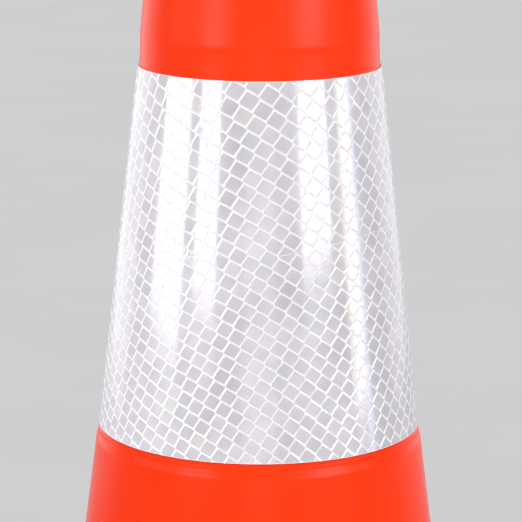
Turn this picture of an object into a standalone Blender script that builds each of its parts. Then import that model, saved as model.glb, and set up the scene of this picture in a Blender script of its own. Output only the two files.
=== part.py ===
"""Traffic cone with a slip-on reflective sleeve.

A hollow PVC cone stands in a weighted square rubber base, which is moulded
round the cone's bottom flange. A reflective sleeve sits in a shallow recess
turned into the cone and lifts off over the tip. Metres, +Z up, the origin at
the centre of the footprint on the ground.
"""
import math

import bmesh
import bpy
from mathutils import Matrix

MM = 0.001

# ---------------------------------------------------------------- dimensions
HEIGHT = 700.0            # tip to ground
SEGMENTS = 48             # facets round the cone

# reflective sleeve: a straight conical band
SLEEVE_TOP_Z = 585.0      # upper edge
SLEEVE_HEIGHT = 150.0     # measured vertically
SLEEVE_R_TOP = 50.0       # outer radius, upper edge
SLEEVE_R_BOTTOM = 66.8    # outer radius, lower edge
FILM_THICKNESS = 0.35     # prismatic face film
FILM_GAP = 0.05
BACKING_THICKNESS = 0.35  # white backing the film is welded to
SLEEVE_CLEARANCE = 0.15   # backing to cone
SEAM_WIDTH = 14.0         # overlap weld at the rear
SEAM_RISE = 0.35          # extra height of the overlap

# cone shell
WALL = 3.0
UPPER_SLOPE = 0.0985      # radius gained per mm down, at the sleeve's top
FLARE = 0.00009           # how fast the slope grows
LOWER_SLOPE = 0.125       # slope just under the sleeve
LOWER_R = 67.2            # outer radius of the cone line at the sleeve's foot
STRAIGHT_AFTER = 330.0    # mm under the sleeve's top; the slope is constant below
RECESS_RUN_OUT = 14.0     # the recess starts this far above the sleeve
SHOULDER = 5.5            # rounded shoulder under the sleeve
NECK_SHOULDER_Z = 634.0   # middle of the step into the grip neck
NECK_R_LOW = 36.0         # grip neck, lower and upper radius
NECK_R_HIGH = 31.2
TIP_BEAD_R = 33.0         # bead round the tip
TIP_BEAD_HEIGHT = 11.0
TIP_HOLE_R = 20.0         # open hole in the tip
FLANGE_R = 150.0          # bottom flange, held inside the base
FLANGE_TOP_Z = 17.0
FLANGE_THICKNESS = 3.5
FOOT_RING_Z = 66.0        # low stiffening step above the base

# weighted base
BASE_HALF = 185.0         # half of the square's side
BASE_CORNER = 55.0        # corner radius
BASE_BOTTOM_Z = 5.0       # underside of the slab; the feet reach the ground
BASE_TOP_Z = 24.0
BASE_EDGE = 5.0           # rounding of the top edge
RING_TOP_Z = 34.0         # raised ring that grips the cone
RING_FOOT_R = 166.0
RING_TOP_WIDTH = 7.0
BASE_HOLE_R = 134.0       # opening under the flange
FIT_GAP = 0.35            # between the base and the cone moulded into it
FOOT_R = 19.0             # eight round feet, two by each corner
FOOT_AT = (152.0, 98.0)
RIB_WIDTH = 10.0          # corner ribs on the base's top
RIB_HEIGHT = 4.0


# ---------------------------------------------------------------- helpers
def clear_scene():
    for obj in list(bpy.data.objects):
        bpy.data.objects.remove(obj, do_unlink=True)


def material(name, colour, roughness, metallic=0.0):
    mat = bpy.data.materials.new(name)
    mat.use_nodes = True
    shader = mat.node_tree.nodes["Principled BSDF"]
    shader.inputs["Base Color"].default_value = (*colour, 1.0)
    shader.inputs["Roughness"].default_value = roughness
    shader.inputs["Metallic"].default_value = metallic
    mat.diffuse_color = (*colour, 1.0)
    return mat


def add_object(name, bm, mat=None, parent=None, smooth=True):
    bmesh.ops.recalc_face_normals(bm, faces=bm.faces[:])
    mesh = bpy.data.meshes.new(name)
    bm.to_mesh(mesh)
    bm.free()
    if smooth:
        mesh.shade_smooth()
        mesh.set_sharp_from_angle(angle=math.radians(32))
    obj = bpy.data.objects.new(name, mesh)
    bpy.context.scene.collection.objects.link(obj)
    if mat:
        mesh.materials.append(mat)
    if parent:
        obj.parent = parent
    return obj


def turned(profile, angles):
    """Closed (radius, z) loop in mm, turned about Z through the given angles."""
    bm = bmesh.new()
    rings = []
    for r, z in profile:
        rings.append([bm.verts.new((r * MM * math.cos(a), r * MM * math.sin(a), z * MM))
                      for a in angles])
    close_rings(bm, rings)
    return bm


def close_rings(bm, rings):
    """Quads between each ring and the next, and from the last to the first."""
    count = len(rings[0])
    for k, ring in enumerate(rings):
        following = rings[(k + 1) % len(rings)]
        for i in range(count):
            j = (i + 1) % count
            bm.faces.new((ring[i], ring[j], following[j], following[i]))


def even_angles(count=SEGMENTS):
    return [2.0 * math.pi * i / count for i in range(count)]


# ---------------------------------------------------------------- cone shell
def sleeve_radius(z):
    """Outer radius of the sleeve at a height."""
    return SLEEVE_R_TOP + (SLEEVE_R_BOTTOM - SLEEVE_R_TOP) * (SLEEVE_TOP_Z - z) / SLEEVE_HEIGHT


def recess_radius(z):
    """Outer radius of the cone under the sleeve."""
    stack = FILM_THICKNESS + FILM_GAP + BACKING_THICKNESS + SLEEVE_CLEARANCE
    return sleeve_radius(z) - stack


def line_radius(z):
    """The cone's own outer line, without recess, neck or beads."""
    d = SLEEVE_TOP_Z - z
    if d <= SLEEVE_HEIGHT:
        return SLEEVE_R_TOP + UPPER_SLOPE * d + FLARE * d * d
    e = min(d, STRAIGHT_AFTER) - SLEEVE_HEIGHT
    r = LOWER_R + LOWER_SLOPE * e + FLARE * e * e
    if d > STRAIGHT_AFTER:
        r += (LOWER_SLOPE + 2 * FLARE * e) * (d - STRAIGHT_AFTER)
    return r


def ease(t):
    t = min(1.0, max(0.0, t))
    return t * t * (3 - 2 * t)


def foot_step(z):
    """The low stiffening step near the base adds 1.6 mm to the radius."""
    return 1.6 * ease((FOOT_RING_Z + 3.5 - z) / 7.0)


def outer_profile():
    """(radius, z) from the tip down to the flange."""
    top = HEIGHT
    points = [(TIP_HOLE_R + 1.2, top)]
    # rounded bead round the tip
    for k in range(5):
        a = math.pi / 2 * k / 4
        points.append((TIP_BEAD_R - 2.5 + 2.5 * math.sin(a), top - 2.5 + 2.5 * math.cos(a)))
    z = top - TIP_BEAD_HEIGHT
    points.append((TIP_BEAD_R, z + 2.0))
    for k in range(1, 4):
        t = k / 3
        points.append((TIP_BEAD_R + (NECK_R_HIGH - TIP_BEAD_R) * ease(t), z + 2.0 - 3.0 * t))
    # grip neck and its shoulder
    low = NECK_SHOULDER_Z + 9.0
    for k in range(1, 5):
        t = k / 4
        points.append((NECK_R_HIGH + (NECK_R_LOW - NECK_R_HIGH) * t, (z - 1.0) * (1 - t) + low * t))
    foot = NECK_SHOULDER_Z - 9.0
    for k in range(1, 9):
        t = k / 8
        zz = low + (foot - low) * t
        points.append((NECK_R_LOW + (line_radius(foot) - NECK_R_LOW) * ease(t), zz))
    # run of plain cone, then the soft start of the recess
    recess_top = SLEEVE_TOP_Z + RECESS_RUN_OUT
    points.append((line_radius(recess_top + 10.0), recess_top + 10.0))
    points.append((line_radius(recess_top), recess_top))
    start, end = line_radius(recess_top), recess_radius(SLEEVE_TOP_Z)
    points.append((start + 0.02, recess_top - 1.5))
    points.append((start - 0.03, recess_top - 3.0))
    points.append((start - 0.03 + (end - start) * 0.30, recess_top - 6.5))
    points.append((end, SLEEVE_TOP_Z))
    # recess floor
    bottom = SLEEVE_TOP_Z - SLEEVE_HEIGHT
    for k in range(1, 4):
        zz = SLEEVE_TOP_Z - SLEEVE_HEIGHT * k / 3
        points.append((recess_radius(zz), zz))
    # rounded shoulder under the sleeve
    points.append((recess_radius(bottom - 0.4), bottom - 0.4))
    for k in range(6):
        zz = bottom - 0.6 - (SHOULDER - 0.6) * k / 5
        t = (SHOULDER - (bottom - zz)) / SHOULDER
        points.append((line_radius(zz) - 1.1 * (1 - math.sqrt(1 - t * t)), zz))
    # flared skirt down to the flange
    zs = [bottom - SHOULDER - 18.0]
    while zs[-1] > FOOT_RING_Z + 40.0:
        zs.append(zs[-1] - 30.0)
    for zz in zs:
        points.append((line_radius(zz), zz))
    for k in range(6):
        zz = FOOT_RING_Z + 4.0 - 8.0 * k / 5
        points.append((line_radius(zz) + foot_step(zz), zz))
    points.append((line_radius(RING_TOP_Z) + foot_step(RING_TOP_Z), RING_TOP_Z))
    corner = FLANGE_TOP_Z + 1.5
    points.append((line_radius(corner) + foot_step(corner), corner))
    points.append((line_radius(FLANGE_TOP_Z) + foot_step(FLANGE_TOP_Z) + 1.5, FLANGE_TOP_Z))
    points.append((FLANGE_R, FLANGE_TOP_Z))
    points.append((FLANGE_R, FLANGE_TOP_Z - FLANGE_THICKNESS))
    return points


def inner_profile():
    """(radius, z) up the inside, from the flange's mouth to the tip hole."""
    points = []
    z = FLANGE_TOP_Z - FLANGE_THICKNESS
    points.append((line_radius(z) - WALL + 0.6, z))
    zs = [FOOT_RING_Z - 6.0, FOOT_RING_Z + 8.0]
    while zs[-1] < SLEEVE_TOP_Z - 40.0:
        zs.append(zs[-1] + 48.0)
    for zz in zs:
        points.append((line_radius(zz) + foot_step(zz) - WALL - 0.9, zz))
    zz = SLEEVE_TOP_Z + 2.0
    points.append((line_radius(zz) - WALL - 1.0, zz))
    low, foot = NECK_SHOULDER_Z + 6.0, NECK_SHOULDER_Z - 12.0
    for k in range(7):
        t = k / 6
        points.append((line_radius(foot) - WALL - 0.4 +
                       (NECK_R_LOW - WALL - line_radius(foot) + WALL + 0.4) * ease(t),
                       foot + (low - foot) * t))
    # inside of the neck, closing to the tip hole
    top = HEIGHT
    points.append((NECK_R_HIGH - WALL, top - TIP_BEAD_HEIGHT - 1.0))
    for k in range(1, 5):
        t = k / 4
        points.append((NECK_R_HIGH - WALL + (TIP_HOLE_R - NECK_R_HIGH + WALL) * ease(t),
                       top - TIP_BEAD_HEIGHT - 1.0 + 7.0 * t))
    points.append((TIP_HOLE_R, top - 1.2))
    return points


def build_cone(parent):
    loop = outer_profile() + inner_profile()
    bm = turned(loop, even_angles())
    mat = material("red_pvc", (0.86, 0.06, 0.012), 0.38)
    return add_object("cone_body", bm, mat, parent)


# ---------------------------------------------------------------- sleeve
def sleeve_angles():
    """Even facets with extra ones at both edges of the overlap."""
    half = SEAM_WIDTH / 2 / SLEEVE_R_BOTTOM
    centre = math.pi / 2
    extra = [centre - half - 0.01, centre - half, centre + half, centre + half + 0.01]
    kept = [a for a in even_angles() if min(abs(a - e) for e in extra) > 0.02]
    return sorted(kept + extra)


def build_sleeve_layer(name, inner_offset, thickness, colour, roughness, parent, rise):
    """One layer of the sleeve: offsets are measured inwards from its face."""
    angles = sleeve_angles()
    half = SEAM_WIDTH / 2 / SLEEVE_R_BOTTOM + 0.001
    bm = bmesh.new()
    rings = []
    levels = [SLEEVE_TOP_Z - SLEEVE_HEIGHT * k / 3 for k in range(4)]
    section = [(z, 0.0) for z in levels] + [(z, thickness) for z in reversed(levels)]
    for z, depth in section:
        ring = []
        for a in angles:
            r = sleeve_radius(z) - inner_offset - depth
            if depth == 0.0 and rise and abs(a - math.pi / 2) <= half:
                r += SEAM_RISE
            ring.append(bm.verts.new((r * MM * math.cos(a), r * MM * math.sin(a), z * MM)))
        rings.append(ring)
    close_rings(bm, rings)
    mat = material(name + "_mat", colour, roughness)
    return add_object(name, bm, mat, parent)


# ---------------------------------------------------------------- base
def square_radius(angle, inset):
    """Polar radius of the rounded square's outline, moved inwards by inset."""
    half, corner = BASE_HALF - inset, BASE_CORNER - inset
    a = angle % (math.pi / 2)
    if a > math.pi / 4:
        a = math.pi / 2 - a
    c = half - corner
    if math.tan(a) <= c / half:
        return half / math.cos(a)
    # ray against the corner arc centred at (c, c)
    b = c * (math.cos(a) + math.sin(a))
    return b + math.sqrt(b * b - 2 * c * c + corner * corner)


def base_angles():
    """5 degree facets along the sides, 2.5 degrees round the corners."""
    angles = []
    for i in range(144):
        deg = i * 2.5
        in_corner = 32.0 < deg % 90.0 < 58.0
        if in_corner or i % 2 == 0:
            angles.append(math.radians(deg))
    return angles


def build_base(parent):
    angles = base_angles()
    lip_z, gap = RING_TOP_Z, FIT_GAP

    def hug(z):
        return line_radius(z) + foot_step(z) + gap

    lip_r = hug(lip_z)
    # section from the lip, over the top and the edge, under, and up the inside
    section = [
        ("round", lip_r, lip_z),
        ("round", lip_r + RING_TOP_WIDTH, lip_z),
        ("round", lip_r + RING_TOP_WIDTH + 2.0, lip_z - 1.2),
        ("round", RING_FOOT_R - 3.0, BASE_TOP_Z + 1.0),
        ("round", RING_FOOT_R, BASE_TOP_Z),
    ]
    for k in range(4):
        a = math.pi / 2 * k / 3
        section.append(("square", BASE_EDGE * (1 - math.sin(a)),
                        BASE_TOP_Z - BASE_EDGE * (1 - math.cos(a))))
    section += [
        ("square", 0.0, BASE_BOTTOM_Z + 2.0),
        ("square", 2.0, BASE_BOTTOM_Z),
        ("round", BASE_HOLE_R, BASE_BOTTOM_Z),
        ("round", BASE_HOLE_R, FLANGE_TOP_Z - FLANGE_THICKNESS - gap),
        ("round", FLANGE_R + gap, FLANGE_TOP_Z - FLANGE_THICKNESS - gap),
        ("round", FLANGE_R + gap, FLANGE_TOP_Z + gap),
        ("round", hug(FLANGE_TOP_Z) + 1.7, FLANGE_TOP_Z + gap),
        ("round", hug(FLANGE_TOP_Z + 1.8), FLANGE_TOP_Z + 1.8 + gap),
    ]
    bm = bmesh.new()
    rings = []
    for kind, value, z in section:
        ring = []
        for a in angles:
            r = value if kind == "round" else square_radius(a, value)
            ring.append(bm.verts.new((r * MM * math.cos(a), r * MM * math.sin(a), z * MM)))
        rings.append(ring)
    close_rings(bm, rings)
    mat = material("black_rubber", (0.012, 0.012, 0.013), 0.72)
    base = add_object("weighted_base", bm, mat, parent)

    # feet and corner ribs are moulded in one with the slab
    tools = []
    for sx in (-1, 1):
        for sy in (-1, 1):
            for x, y in (FOOT_AT, FOOT_AT[::-1]):
                foot = bmesh.new()
                bmesh.ops.create_cone(foot, cap_ends=True, segments=20,
                                      radius1=(FOOT_R - 1.5) * MM, radius2=FOOT_R * MM,
                                      depth=(BASE_BOTTOM_Z + 2.0) * MM)
                bmesh.ops.translate(foot, verts=foot.verts[:],
                                    vec=(sx * x * MM, sy * y * MM, (BASE_BOTTOM_Z + 2.0) / 2 * MM))
                tools.append(add_object("tool_foot", foot, smooth=False))
            for turn in (-11.0, 0.0, 11.0):
                rib = bmesh.new()
                start = RING_FOOT_R - 8.0
                angle = math.radians(45.0 + turn)
                end = square_radius(angle, 13.0)
                bmesh.ops.create_cube(rib, size=1.0)
                bmesh.ops.scale(rib, verts=rib.verts[:], vec=((end - start) * MM, RIB_WIDTH * MM,
                                                              (RIB_HEIGHT + 4.0) * MM))
                top = [v for v in rib.verts if v.co.z > 0]
                bmesh.ops.scale(rib, verts=top, vec=(1.0, 0.6, 1.0))
                for v in top:
                    if v.co.x > 0:
                        v.co.x -= 4.0 * MM
                bmesh.ops.translate(rib, verts=rib.verts[:],
                                    vec=((start + end) / 2 * MM, 0.0,
                                         (BASE_TOP_Z + (RIB_HEIGHT - 4.0) / 2) * MM))
                spin = math.atan2(sy * math.sin(angle), sx * math.cos(angle))
                bmesh.ops.rotate(rib, verts=rib.verts[:], cent=(0, 0, 0),
                                 matrix=Matrix.Rotation(spin, 3, "Z"))
                tools.append(add_object("tool_rib", rib, smooth=False))
    for tool in tools:
        tool.hide_render = True
        tool.display_type = "WIRE"
        mod = base.modifiers.new(tool.name, "BOOLEAN")
        mod.operation = "UNION"
        mod.solver = "EXACT"
        mod.object = tool
    return base


# ---------------------------------------------------------------- assembly
def main():
    clear_scene()
    stand = bpy.data.objects.new("cone_assembly", None)
    bpy.context.scene.collection.objects.link(stand)
    sleeve = bpy.data.objects.new("sleeve_axis", None)
    sleeve.parent = stand
    bpy.context.scene.collection.objects.link(sleeve)

    build_base(stand)
    build_cone(stand)
    build_sleeve_layer("sleeve_face_film", 0.0, FILM_THICKNESS,
                       (0.74, 0.73, 0.76), 0.14, sleeve, True)
    build_sleeve_layer("sleeve_backing", FILM_THICKNESS + FILM_GAP, BACKING_THICKNESS,
                       (0.85, 0.85, 0.85), 0.55, sleeve, False)


main()
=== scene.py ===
"""Looks of the traffic cone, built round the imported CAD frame. Metres, +Z up."""

import math
import random

import bmesh
import bpy
import numpy as np
from mathutils import Matrix, Vector


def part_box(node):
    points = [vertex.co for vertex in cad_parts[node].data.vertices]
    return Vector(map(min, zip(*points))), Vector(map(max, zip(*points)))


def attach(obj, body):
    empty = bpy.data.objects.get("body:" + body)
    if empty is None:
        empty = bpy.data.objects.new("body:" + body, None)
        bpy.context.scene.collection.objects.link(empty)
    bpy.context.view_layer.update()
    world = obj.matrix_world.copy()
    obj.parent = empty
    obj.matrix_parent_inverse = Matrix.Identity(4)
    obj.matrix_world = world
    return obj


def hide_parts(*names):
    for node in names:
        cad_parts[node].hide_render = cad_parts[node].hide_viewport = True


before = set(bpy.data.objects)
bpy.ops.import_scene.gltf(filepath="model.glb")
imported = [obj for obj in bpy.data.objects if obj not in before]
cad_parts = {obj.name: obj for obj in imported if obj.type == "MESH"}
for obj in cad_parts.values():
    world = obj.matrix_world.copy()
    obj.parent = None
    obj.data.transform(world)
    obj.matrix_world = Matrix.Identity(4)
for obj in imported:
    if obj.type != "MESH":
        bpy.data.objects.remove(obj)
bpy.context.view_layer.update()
MM = 0.001
rng = np.random.default_rng(20)
random.seed(20)


# ------------------------------------------------------------ sizes from the frame
film_lo, film_hi = (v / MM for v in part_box("sleeve_face_film"))
body_lo, body_hi = (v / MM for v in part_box("cone_body"))
base_lo, base_hi = (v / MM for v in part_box("weighted_base"))

HEIGHT = body_hi.z
SLEEVE_TOP = film_hi.z
SLEEVE_BOTTOM = film_lo.z
SLEEVE_H = SLEEVE_TOP - SLEEVE_BOTTOM
R_BOTTOM = film_hi.x                                   # outer radius at the sleeve's foot
R_TOP = max(math.hypot(v.co.x, v.co.y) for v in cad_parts["sleeve_face_film"].data.vertices
            if v.co.z > (SLEEVE_TOP - 0.5) * MM and v.co.y < 0) / MM
BASE_HALF = base_hi.x
RING_TOP_Z = base_hi.z
FLANGE_R = body_hi.x
FLANGE_BOTTOM = body_lo.z

# ------------------------------------------------------------ the cone's own shape
UPPER_SLOPE, LOWER_SLOPE, FLARE = 0.0985, 0.125, 0.00009
LOWER_R = R_BOTTOM + 0.4
STRAIGHT_AFTER = 330.0
WALL = 3.0
STACK = 0.9                 # sleeve and its clearance, cone to sleeve face
FILM_T, BACK_T, PLY_GAP = 0.35, 0.35, 0.05
RECESS_RUN_OUT, SHOULDER = 14.0, 8.0
NECK_Z, NECK_LOW, NECK_HIGH = HEIGHT - 66.0, 36.0, 31.2
BEAD_R, BEAD_H, HOLE_R = 33.0, 11.0, 20.0
FOOT_RING_Z = 66.0
FLANGE_TOP = FLANGE_BOTTOM + 3.5
SLEEVE_SLOPE = (R_BOTTOM - R_TOP) / SLEEVE_H


def ease(t):
    t = min(1.0, max(0.0, t))
    return t * t * (3 - 2 * t)


def sleeve_radius(z):
    return R_TOP + SLEEVE_SLOPE * (SLEEVE_TOP - z)


def line_radius(z):
    d = SLEEVE_TOP - z
    if d <= SLEEVE_H:
        return R_TOP + UPPER_SLOPE * d + FLARE * d * d
    e = min(d, STRAIGHT_AFTER) - SLEEVE_H
    r = LOWER_R + LOWER_SLOPE * e + FLARE * e * e
    if d > STRAIGHT_AFTER:
        r += (LOWER_SLOPE + 2 * FLARE * e) * (d - STRAIGHT_AFTER)
    return r


def skirt_radius(z):
    return line_radius(z) + 1.6 * ease((FOOT_RING_Z + 3.5 - z) / 7.0)


# ------------------------------------------------------------ mesh helpers
def make_object(name, verts, faces, smooth_angle=35.0):
    mesh = bpy.data.meshes.new(name)
    mesh.from_pydata(verts, [], faces)
    mesh.validate(verbose=False)
    bm = bmesh.new()
    bm.from_mesh(mesh)
    bmesh.ops.recalc_face_normals(bm, faces=bm.faces[:])
    bm.to_mesh(mesh)
    bm.free()
    mesh.shade_smooth()
    mesh.set_sharp_from_angle(angle=math.radians(smooth_angle))
    obj = bpy.data.objects.new(name, mesh)
    bpy.context.scene.collection.objects.link(obj)
    return obj


def ring_faces(rings, closed_section=True):
    """Quads between rings of vertex numbers; each ring closes on itself."""
    faces = []
    n = len(rings[0])
    last = len(rings) if closed_section else len(rings) - 1
    for k in range(last):
        a, b = rings[k], rings[(k + 1) % len(rings)]
        for i in range(n):
            j = (i + 1) % n
            faces.append((a[i], a[j], b[j], b[i]))
    return faces


def rounded_path(points, step):
    """Resamples (r, z, corner_radius) points: round corners become arcs."""
    out = []
    n = len(points)
    for i, (x, y, c) in enumerate(points):
        p = Vector((x, y))
        if c <= 0:
            out.append(p)
            continue
        a = Vector(points[i - 1][:2]) - p
        b = Vector(points[(i + 1) % n][:2]) - p
        ang = a.angle(b)
        d = min(c / math.tan(ang / 2), a.length * 0.49, b.length * 0.49)
        s, e = p + a.normalized() * d, p + b.normalized() * d
        k = max(2, int(round((math.pi - ang) * c / step)) + 1)
        for q in range(k + 1):
            t = q / k
            out.append(s * (1 - t) ** 2 + p * 2 * t * (1 - t) + e * t * t)
    return [(v.x, v.y) for v in out]


# ------------------------------------------------------------ cone shell
def cone_sections():
    """Outer then inner (radius, z) in mm as one closed loop."""
    top = HEIGHT
    p = []
    # rim of the tip hole and the rounded bead
    for k in range(7):
        a = math.pi / 2 * k / 6
        p.append((HOLE_R + 1.2 - 1.2 * math.cos(a), top - 1.2 + 1.2 * math.sin(a)))
    p.append((BEAD_R - 5.0, top))
    for k in range(11):
        a = math.pi / 2 * k / 10
        p.append((BEAD_R - 2.6 + 2.6 * math.sin(a), top - 2.6 + 2.6 * math.cos(a)))
    low = top - BEAD_H
    p.append((BEAD_R, low + 4.0))
    for k in range(13):
        t = k / 12
        p.append((BEAD_R + (NECK_HIGH - BEAD_R) * ease(t), low + 2.4 - 3.8 * t))
    neck_top, neck_low = low - 1.6, NECK_Z + 9.0
    for k in range(1, 13):
        t = k / 12
        p.append((NECK_HIGH + (NECK_LOW - NECK_HIGH) * t, neck_top * (1 - t) + neck_low * t))
    foot = NECK_Z - 9.0
    for k in range(1, 29):
        t = k / 28
        p.append((NECK_LOW + (line_radius(foot) - NECK_LOW) * ease(t),
                  neck_low + (foot - neck_low) * t))
    # plain cone down to the soft start of the recess, then its floor
    recess_top = SLEEVE_TOP + RECESS_RUN_OUT
    zs = np.linspace(foot, recess_top, 9)[1:]
    p += [(line_radius(z), z) for z in zs]
    r0 = line_radius(recess_top)
    r1 = sleeve_radius(SLEEVE_TOP) - STACK
    for k in range(1, 25):
        t = k / 24
        z = recess_top + (SLEEVE_TOP - recess_top) * t
        # the wall steps in softly over the first 4 mm, then follows the cone again
        step = ease((recess_top - z) / 4.2)
        run = (recess_top - z) / RECESS_RUN_OUT
        soft = r0 + (line_radius(z) - r0) * (1 - step) + step * (-0.04 + (r1 - r0 + 0.04) * run ** 1.25)
        p.append((soft, z))
    for k in range(1, 9):
        z = SLEEVE_TOP - SLEEVE_H * k / 8
        p.append((sleeve_radius(z) - STACK, z))
    bottom = SLEEVE_BOTTOM
    p.append((sleeve_radius(bottom) - STACK + 0.03, bottom - 0.3))
    # soft run-out from the recess floor to the skirt
    depth = line_radius(bottom) - (sleeve_radius(bottom) - STACK + 0.03)
    for k in range(1, 41):
        drop = 0.3 + (SHOULDER - 0.3) * k / 40
        rise = (depth - 0.5) * ease((drop - 0.3) / 1.6) + 0.5 * ease((drop - 2.7) / 4.0)
        p.append((line_radius(bottom - drop) - depth + rise, bottom - drop))
    # skirt, with the low stiffening step
    z = bottom - SHOULDER
    for zz in np.linspace(z - 6, FOOT_RING_Z + 8, 44):
        p.append((skirt_radius(zz), zz))
    for zz in np.linspace(FOOT_RING_Z + 5, FOOT_RING_Z - 5, 15):
        p.append((skirt_radius(zz), zz))
    for zz in np.linspace(FOOT_RING_Z - 8, FLANGE_TOP + 3.0, 8):
        p.append((skirt_radius(zz), zz))
    for k in range(1, 8):
        a = math.pi / 2 * k / 7
        p.append((skirt_radius(FLANGE_TOP + 3.0) + 3.0 * (1 - math.cos(a)),
                  FLANGE_TOP + 3.0 - 3.0 * math.sin(a)))
    p += [(FLANGE_R - 0.6, FLANGE_TOP), (FLANGE_R, FLANGE_TOP - 0.6),
          (FLANGE_R, FLANGE_BOTTOM + 0.6), (FLANGE_R - 0.6, FLANGE_BOTTOM)]
    outer_count = len(p)
    # inside, from the mouth up
    r = skirt_radius(FLANGE_BOTTOM) - WALL
    p += [(r + 1.5, FLANGE_BOTTOM), (r, FLANGE_BOTTOM + 1.5)]
    for zz in np.linspace(FLANGE_BOTTOM + 8, SLEEVE_TOP + 2, 40):
        p.append((skirt_radius(zz) - WALL - 0.9, zz))
    low2, foot2 = NECK_Z + 6.0, NECK_Z - 12.0
    a0 = line_radius(foot2) - WALL - 0.4
    for k in range(17):
        t = k / 16
        p.append((a0 + (NECK_LOW - WALL - a0) * ease(t), foot2 + (low2 - foot2) * t))
    base_z = top - BEAD_H - 1.0
    p.append((NECK_HIGH - WALL + 2.2, (low2 + base_z) / 2))
    for k in range(10):
        t = k / 9
        p.append((NECK_HIGH - WALL + (HOLE_R - NECK_HIGH + WALL) * ease(t), base_z + 7.0 * t))
    return p, outer_count


def build_shell():
    section, _ = cone_sections()
    n = 192
    ca = np.cos(2 * np.pi * np.arange(n) / n)
    sa = np.sin(2 * np.pi * np.arange(n) / n)
    verts, rings = [], []
    for r, z in section:
        rings.append(range(len(verts), len(verts) + n))
        verts += [(r * MM * c, r * MM * s, z * MM) for c, s in zip(ca, sa)]
    return make_object("cone_shell", verts, ring_faces([list(x) for x in rings]), 40)


# ------------------------------------------------------------ weighted base
BASE_CORNER, BASE_TOP, BASE_UNDER = 55.0, 24.0, 5.0


def square_radius(angle, inset):
    half, corner = BASE_HALF - inset, max(BASE_CORNER - inset, 1.0)
    a = angle % (math.pi / 2)
    if a > math.pi / 4:
        a = math.pi / 2 - a
    c = half - corner
    if math.tan(a) <= c / half:
        return half / math.cos(a)
    b = c * (math.cos(a) + math.sin(a))
    return b + math.sqrt(b * b - 2 * c * c + corner * corner)


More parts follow.
